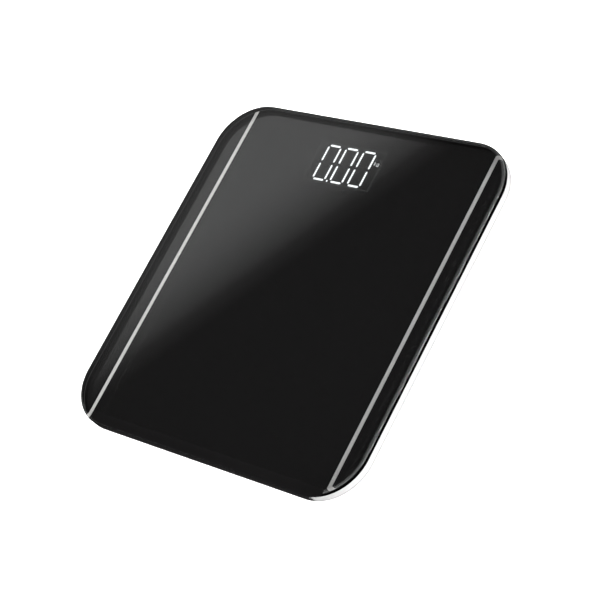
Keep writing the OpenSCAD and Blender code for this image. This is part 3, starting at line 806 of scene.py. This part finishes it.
soft_part("base_tray", "moulded_tray", "platform", TRAY_PLASTIC, 0.3 * MM)
soft_part("battery_door", "bay_cover", "battery_cover", DOOR_PLASTIC, 0.2 * MM)
soft_part("unit_button", "unit_key_cap", "unit_key", BUTTON_PLASTIC, 0.15 * MM)
for spot in CORNERS:
    unit = "foot_unit_" + spot
    soft_part("foot_" + spot, "foot_cup_" + spot, unit, FOOT_PLASTIC, 0.3 * MM)
    soft_part("foot_pad_" + spot, "tread_" + spot, unit, PAD_RUBBER, 0.2 * MM)
    soft_part("cell_carrier_" + spot, "carrier_" + spot, "platform",
              CARRIER_PLASTIC, 0.2 * MM)
    soft_part("load_cell_" + spot, "steel_cell_" + spot, "platform", CELL_STEEL,
              0.12 * MM)
soft_part("lead_sockets", "sockets_for_leads", "platform", IVORY, 0.2 * MM)
soft_part("tact_switch", "switch_case", "platform", CHIP_EPOXY, 0.15 * MM)
soft_part("board_parts", "chips_and_capacitors", "platform", CHIP_EPOXY, 0.12 * MM)
soft_part("strain_gauges", "gauge_covers", "platform", GAUGE_SILICONE, 0.35 * MM, 3)

# CAD nodes that stay as they are get their finish here
for node, material in (("rating_label", LABEL), ("bond_tape", TAPE_FOAM), ("main_board", BOARD),
                       ("lcd_frame", CHIP_EPOXY), ("lcd_cell", LCD_GLASS), ("light_guide", GUIDE),
                       ("backlight_leds", LED_EPOXY), ("zebra_strips", ZEBRA),
                       ("switch_plunger", IVORY), ("contact_plates", NICKEL)):
    for slot in nodes[node].material_slots:
        slot.material = material


# ---- Repeated parts, grown by geometry nodes ----

def growth_tree(name, inputs):
    """An empty geometry tree with named inputs; also returns the identifiers of its sockets."""
    tree = bpy.data.node_groups.new(name, "GeometryNodeTree")
    tree.interface.new_socket("Geometry", in_out="INPUT", socket_type="NodeSocketGeometry")
    keys = {}
    for key, kind, default in inputs:
        socket = tree.interface.new_socket(key, in_out="INPUT", socket_type="NodeSocket" + kind)
        if default is not None:
            socket.default_value = default
        keys[key] = socket.identifier
    tree.interface.new_socket("Geometry", in_out="OUTPUT", socket_type="NodeSocketGeometry")
    return tree, keys, tree.nodes.new("NodeGroupInput").outputs, tree.nodes.new("NodeGroupOutput")


def end_tree(tree, geometry, source, sink):
    """Closes a tree: real geometry, smooth faces, its material."""
    real = add(tree, "GeometryNodeRealizeInstances", {0: geometry})
    smooth = add(tree, "GeometryNodeSetShadeSmooth", {0: real.outputs[0]})
    paint = add(tree, "GeometryNodeSetMaterial", {"Geometry": smooth.outputs[0],
                                                  "Material": source["Material"]})
    sockets(sink, {"Geometry": paint.outputs[0]})


def swept(tree, curve, profile):
    """A closed tube of a profile along a curve."""
    return add(tree, "GeometryNodeCurveToMesh", {"Fill Caps": True, "Curve": curve,
                                                 "Profile Curve": profile}).outputs[0]


def grown(name, mesh, growth, values):
    """Runs a tree over a mesh and bakes the result."""
    tree, keys = growth
    obj = shown(name, mesh)
    modifier = obj.modifiers.new("growth", "NODES")
    modifier.node_group = tree
    for key, value in values.items():
        modifier[keys[key]] = value
    return baked(obj)


def joined(name, parts):
    """Joins baked parts into one object; each keeps its own material."""
    materials, bm = [], bmesh.new()
    for part in parts:
        own = part.data.materials[0]
        if own not in materials:
            materials.append(own)
        start = len(bm.faces)
        bm.from_mesh(part.data)
        bm.faces.ensure_lookup_table()
        for face in bm.faces[start:]:
            face.material_index = materials.index(own)
    mesh = bpy.data.meshes.new(name)
    bm.to_mesh(mesh)
    bm.free()
    for part in parts:
        old = part.data
        bpy.data.objects.remove(part)
        bpy.data.meshes.remove(old)
    return shown(name, mesh), materials


def core_tree():
    """One core of a lead: a round wire wound round the middle of the lead's route."""
    tree, keys, source, sink = growth_tree("wire core", [
        ("Radius", "Float", 0.45 * MM), ("Offset", "Float", 0.5 * MM), ("Start", "Float", 0.0),
        ("Twist", "Float", 500.0), ("Step", "Float", LEAD_STEP), ("Material", "Material", None)])
    curve = add(tree, "GeometryNodeMeshToCurve", {"Mesh": source["Geometry"]})
    kind = add(tree, "GeometryNodeCurveSplineType", {"Curve": curve.outputs[0]},
               spline_type="CATMULL_ROM")
    fine = add(tree, "GeometryNodeResampleCurve", {"Curve": kind.outputs[0], "Length": source["Step"]},
               mode="LENGTH")
    along = add(tree, "GeometryNodeSplineParameter").outputs["Length"]
    turn = plus(tree, times(tree, along, source["Twist"]), source["Start"])
    tilt = add(tree, "GeometryNodeSetCurveTilt", {"Curve": fine.outputs[0], "Tilt": turn})
    ring = add(tree, "GeometryNodeCurvePrimitiveCircle", {"Resolution": 8, "Radius": source["Radius"]})
    aside = add(tree, "ShaderNodeCombineXYZ", {"X": source["Offset"]})
    shift = add(tree, "GeometryNodeTransform", {"Geometry": ring.outputs[0],
                                                "Translation": aside.outputs[0]})
    end_tree(tree, swept(tree, tilt.outputs[0], shift.outputs[0]), source, sink)
    return tree, keys


def spring_tree():
    """A coil that narrows from its foot to its tip, standing on the origin along Z."""
    tree, keys, source, sink = growth_tree("contact spring", [
        ("Wire", "Float", SPRING_WIRE), ("Foot", "Float", 3.2 * MM), ("Tip", "Float", 2.1 * MM),
        ("Turns", "Float", 5.0), ("Height", "Float", 7.0 * MM), ("Material", "Material", None)])
    coil = add(tree, "GeometryNodeCurveSpiral", {
        "Resolution": 28, "Rotations": source["Turns"], "Start Radius": source["Foot"],
        "End Radius": source["Tip"], "Height": source["Height"]})
    ring = add(tree, "GeometryNodeCurvePrimitiveCircle", {"Resolution": 10, "Radius": source["Wire"]})
    end_tree(tree, swept(tree, coil.outputs[0], ring.outputs[0]), source, sink)
    return tree, keys


def planting_tree():
    """Stands a copy of one part on every point, each turned by a seeded angle."""
    tree, keys, source, sink = growth_tree("planting", [
        ("Part", "Object", None), ("Seed", "Int", 7), ("Material", "Material", None)])
    info = add(tree, "GeometryNodeObjectInfo", {"Object": source["Part"]})
    angle = add(tree, "FunctionNodeRandomValue", {
        0: (0.0, 0.0, 0.0), 1: (0.0, 0.0, math.pi), "Seed": source["Seed"]}, data_type="FLOAT_VECTOR")
    turned = add(tree, "FunctionNodeEulerToRotation", {0: angle.outputs[0]})
    plant = add(tree, "GeometryNodeInstanceOnPoints", {
        "Points": source["Geometry"], "Instance": info.outputs["Geometry"],
        "Rotation": turned.outputs[0]})
    end_tree(tree, plant.outputs[0], source, sink)
    return tree, keys


CORE = core_tree()
SPRING = spring_tree()
PLANTING = planting_tree()


def lathed(name, profile, sides, tags=None):
    """A turned mesh round Z; the profile runs from the axis out and back to the axis."""
    verts, faces, face_tags, rings = [], [], [], []
    for radius, height in profile:
        if radius < 1e-9:
            verts.append((0.0, 0.0, height))
            rings.append([len(verts) - 1] * sides)
            continue
        start = len(verts)
        for k in range(sides):
            a = 2 * math.pi * k / sides
            verts.append((radius * math.cos(a), radius * math.sin(a), height))
        rings.append(list(range(start, start + sides)))
    for r in range(len(rings) - 1):
        low_ring, high_ring = rings[r], rings[r + 1]
        for k in range(sides):
            n = (k + 1) % sides
            face = list(dict.fromkeys([low_ring[k], low_ring[n], high_ring[n], high_ring[k]]))
            if len(face) > 2:
                faces.append(face)
                face_tags.append(tags[r] if tags else 0)
    return mesh_from(name, verts, faces, face_tags)


def screw_part(name, head_r, head_h, shank_r, shank_l, drive_r):
    """A pan-head screw with a cross recess and thread ridges, head up, seat on Z = 0."""
    profile = [(0.0, head_h), (0.45 * head_r, head_h - 0.02 * MM), (0.75 * head_r, 0.86 * head_h),
               (0.93 * head_r, 0.6 * head_h), (head_r, 0.3 * head_h), (head_r, 0.0), (shank_r, 0.0)]
    for i in range(int(shank_l / THREAD_PITCH)):
        z = -0.3 * MM - THREAD_PITCH * i
        profile += [(0.8 * shank_r, z - 0.1 * MM), (shank_r, z - 0.4 * MM)]
    profile += [(0.6 * shank_r, -shank_l + 0.05 * MM), (0.0, -shank_l)]
    screw = shown(name, lathed(name, profile, 24))
    arms = bmesh.new()
    up = Matrix.Translation((0, 0, 1.1 * head_h))
    size = Matrix.Diagonal((2 * drive_r, 0.34 * drive_r, 1.4 * head_h, 1.0))
    for turn in (0.0, math.pi / 2):
        bmesh.ops.create_cube(arms, size=1.0, matrix=up @ Matrix.Rotation(turn, 4, "Z") @ size)
    cross_mesh = bpy.data.meshes.new("cross")
    arms.to_mesh(cross_mesh)
    arms.free()
    cross = shown("cross", cross_mesh)
    cut = screw.modifiers.new("drive", "BOOLEAN")
    cut.object = cross
    cut.solver = "EXACT"
    cut.use_self = True
    baked(screw)
    bpy.data.objects.remove(cross)
    bpy.data.meshes.remove(cross_mesh)
    return screw


def plant_screws(node, name, part, seat, flip):
    """Puts a screw at the place of each screw of a CAD node."""
    cad = merged_copy(node, "places")
    places = [((low.x + high.x) / 2, (low.y + high.y) / 2, 0.0) for _, low, high in parts_of(cad)]
    bpy.data.meshes.remove(cad)
    if flip:
        part.data.transform(Matrix.Rotation(math.pi, 4, "X"))
    part.data.transform(Matrix.Translation((0, 0, seat)))
    points = bpy.data.meshes.new(name)
    points.from_pydata(places, [], [])
    obj = grown(name, points, PLANTING, {"Part": part, "Seed": 11, "Material": SCREW_STEEL})
    bpy.data.objects.remove(part)
    obj.data.set_sharp_from_angle(angle=math.radians(35))
    finish_piece(obj, "platform", [SCREW_STEEL], node)


def lead_bundle(node, name, route, side, cores, radius, offset):
    """A lead of twisted cores along a route, on its own side or mirrored."""
    points = [(side * x * MM, y * MM, z * MM) for x, y, z in route]
    parts = []
    for i, sleeve in enumerate(cores):
        path = bpy.data.meshes.new("path")
        path.from_pydata(points, [(k, k + 1) for k in range(len(points) - 1)], [])
        parts.append(grown("core", path, CORE, {
            "Radius": radius, "Offset": offset, "Start": 2 * math.pi * i / len(cores),
            "Twist": 2 * math.pi / LEAD_LAY, "Step": LEAD_STEP, "Material": sleeve}))
    obj, materials = joined(name, parts)
    finish_piece(obj, "platform", materials, node)


def wound_springs():
    """A wound coil in the place of each spring of the battery bay."""
    parts = []
    cad = merged_copy("battery_springs", "places")
    for _, low, high in parts_of(cad):
        if high.y - low.y < 1 * MM:
            continue
        at_rear = (low.y + high.y) / 2 > BAY_MIDDLE_Y
        middle_x = round((low.x + high.x) / 2 / CELL_PITCH) * CELL_PITCH
        height = high.y - low.y - 2 * SPRING_WIRE
        part = grown("spring", bpy.data.meshes.new("blank"), SPRING, {"Height": height,
                                                                      "Material": NICKEL})
        turn = Matrix.Rotation(math.pi / 2 if at_rear else -math.pi / 2, 4, "X")
        foot_y = high.y - SPRING_WIRE if at_rear else low.y + SPRING_WIRE
        part.data.transform(Matrix.Translation((middle_x, foot_y, CELL_Z)) @ turn)
        parts.append(part)
    bpy.data.meshes.remove(cad)
    obj, materials = joined("wound_springs", parts)
    finish_piece(obj, "platform", materials, "battery_springs")


def sleeved_cell(node, way):
    """A dry cell: shrunk jacket with a band at its nub end, turned-over lips and plated caps."""
    low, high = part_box(node)
    radius = (high.x - low.x) / 2
    length = high.y - low.y
    body = length - 1 * MM
    band = 0.72 * body
    profile = [(0.0, 0.12 * MM), (0.62 * radius, 0.12 * MM), (0.66 * radius, 0.0),
               (0.86 * radius, 0.0), (0.88 * radius, 0.18 * MM), (0.90 * radius, 0.0),
               (0.97 * radius, 0.1 * MM), (radius, 0.5 * MM), (radius, band),
               (radius, body - 0.5 * MM), (0.97 * radius, body - 0.1 * MM), (0.90 * radius, body),
               (0.88 * radius, body - 0.2 * MM), (0.5 * radius, body - 0.15 * MM),
               (1.9 * MM, body - 0.05 * MM), (1.9 * MM, length - 0.25 * MM),
               (1.65 * MM, length), (0.0, length)]
    tags = [2] * 4 + [0] * 4 + [1] * 4 + [2] * 5
    mesh = lathed("sleeved_" + node, profile, 48, tags)
    spin = Matrix.Rotation(-math.pi / 2 * way, 4, "X")
    foot_y = low.y if way > 0 else high.y
    middle = ((low.x + high.x) / 2, foot_y, (low.z + high.z) / 2)
    mesh.transform(Matrix.Translation(middle) @ spin)
    cell = shown("sleeved_" + node, mesh)
    finish_piece(cell, "platform", [JACKET, JACKET_BAND, NICKEL], node)


for side_name, side in (("left", -1), ("right", 1)):
    for end_name, route in (("front", FRONT_ROUTE), ("rear", REAR_ROUTE)):
        spot = end_name + "_" + side_name
        lead_bundle("cell_lead_" + spot, "gauge_wires_" + spot, route, side,
                    [RED_SLEEVE, BLACK_SLEEVE, WHITE_SLEEVE], 0.48 * MM, 0.56 * MM)
lead_bundle("battery_lead", "battery_wires", BATTERY_ROUTE, 1, [RED_SLEEVE, BLACK_SLEEVE],
            0.44 * MM, 0.45 * MM)
plant_screws("cell_screws", "cell_screws_planted",
             screw_part("cell_screw", 2.3 * MM, 1.4 * MM, 1.25 * MM, 5.4 * MM, 1.35 * MM),
             8.45 * MM, True)
plant_screws("board_screws", "board_screws_planted",
             screw_part("board_screw", 2.0 * MM, 1.3 * MM, 1.0 * MM, 5.0 * MM, 1.2 * MM),
             12.3 * MM, False)
wound_springs()
sleeved_cell("battery_left", 1)
sleeved_cell("battery_middle", -1)
sleeved_cell("battery_right", 1)


# ---- Floor, light and camera ----

def stage_floor():
    """A pale, faintly glowing floor that is clear from below and unseen by gloss and glass."""
    corners = [(sx * FLOOR_HALF, sy * FLOOR_HALF, 0) for sx, sy in ((-1, -1), (1, -1), (1, 1), (-1, 1))]
    floor = shown("floor", mesh_from("floor", corners, [[0, 1, 2, 3]]))
    mat, tree, principled = new_material("pale floor")
    tone = toned(tree, own_space(tree), (0.8, 0.8, 0.8), 0.01, scale=0.8)
    sockets(principled, {"Base Color": tone, "Roughness": 0.9,
                         "Emission Color": (1.0, 1.0, 1.0, 1.0), "Emission Strength": FLOOR_GLOW})
    clear = add(tree, "ShaderNodeBsdfTransparent")
    show(tree, blend_shader(tree, is_inside(tree), principled.outputs[0], clear.outputs[0]))
    floor.data.materials.append(mat)
    floor.visible_glossy = False
    floor.visible_transmission = False


def studio_sky():
    """A pale backdrop on one side and a dark room above for the gloss; plain light for the rest."""
    world = bpy.data.worlds.new("studio")
    scene.world = world
    world.use_nodes = True
    tree = world.node_tree
    direction = add(tree, "ShaderNodeTexCoord").outputs["Generated"]
    along = add(tree, "ShaderNodeVectorMath", {0: direction, 1: BACKDROP_NORMAL},
                operation="DOT_PRODUCT")
    first = BACKDROP_EDGE[0][0]
    span = BACKDROP_EDGE[-1][0] - first
    scaled = over(tree, minus(tree, along.outputs["Value"], first), span, clamp=True)
    ramp = add(tree, "ShaderNodeValToRGB", {"Fac": scaled})
    ramp.color_ramp.interpolation = "LINEAR"
    stops = ramp.color_ramp.elements
    for i, (at, level) in enumerate(BACKDROP_EDGE):
        spot = (at - first) / span
        stop = stops[i] if i < 2 else stops.new(spot)
        stop.position = spot
        stop.color = (level, level, level, 1.0)
    _, _, rise = axes(tree, direction)
    above = times(tree, plus(tree, rise, 0.02), 40.0, clamp=True)
    sky = blend_colour(tree, above, (BELOW, BELOW, BELOW), ramp.outputs["Color"])
    rays = add(tree, "ShaderNodeLightPath").outputs
    lit = blend_colour(tree, rays["Is Diffuse Ray"], sky, (AMBIENT, AMBIENT, AMBIENT))
    seen = blend_colour(tree, rays["Is Camera Ray"], lit, (PALE, PALE, PALE))
    sockets(tree.nodes["Background"], {"Color": seen, "Strength": 1.0})


def soft_lamp(name, aim, toward, distance, size, power, mirrored):
    """A rectangular soft box that faces a point from a given direction."""
    lamp = bpy.data.lights.new(name, "AREA")
    lamp.shape = "RECTANGLE"
    lamp.size, lamp.size_y = size
    lamp.energy = power
    obj = shown(name, lamp)
    way = Vector(toward).normalized()
    obj.location = Vector(aim) + way * distance
    obj.rotation_mode = "QUATERNION"
    obj.rotation_quaternion = (-way).to_track_quat("-Z", "Y")
    obj.visible_glossy = mirrored
    obj.visible_transmission = mirrored
    obj.visible_camera = False


def stage_camera():
    """A long lens that looks down on the platform from its front right."""
    camera = shown("camera", bpy.data.cameras.new("camera"))
    scene.camera = camera
    camera.data.lens = CAMERA_LENS
    camera.data.sensor_width = CAMERA_SENSOR
    camera.data.dof.use_dof = False
    camera.data.clip_start = 0.05
    camera.data.clip_end = 50.0
    right, up = Vector(CAMERA_RIGHT), Vector(CAMERA_UP)
    facing = Matrix((right, up, right.cross(up))).transposed().to_4x4()
    camera.matrix_world = Matrix.Translation(CAMERA_AT) @ facing


stage_floor()
studio_sky()
soft_lamp("strip", LAMP_AIM, (0.80, 0.2725, 0.53), 1.3, (0.9, 0.07), 7, mirrored=True)
soft_lamp("wash_right_rear", LAMP_AIM, (0.8, 0.55, 0.22), 1.2, (1.0, 0.5), 42, mirrored=False)
soft_lamp("wash_right_front", LAMP_AIM, (0.8, -0.6, 0.22), 1.2, (1.0, 0.5), 42, mirrored=False)
soft_lamp("overhead", (0, 0, 0), (0.1, -0.1, 1.0), 1.6, (1.6, 1.6), 38, mirrored=False)
soft_lamp("fill_left", (0, 0, 0), (-0.8, -0.4, 0.35), 1.4, (1.0, 0.8), 10, mirrored=False)
stage_camera()
scene.view_settings.view_transform = "Standard"
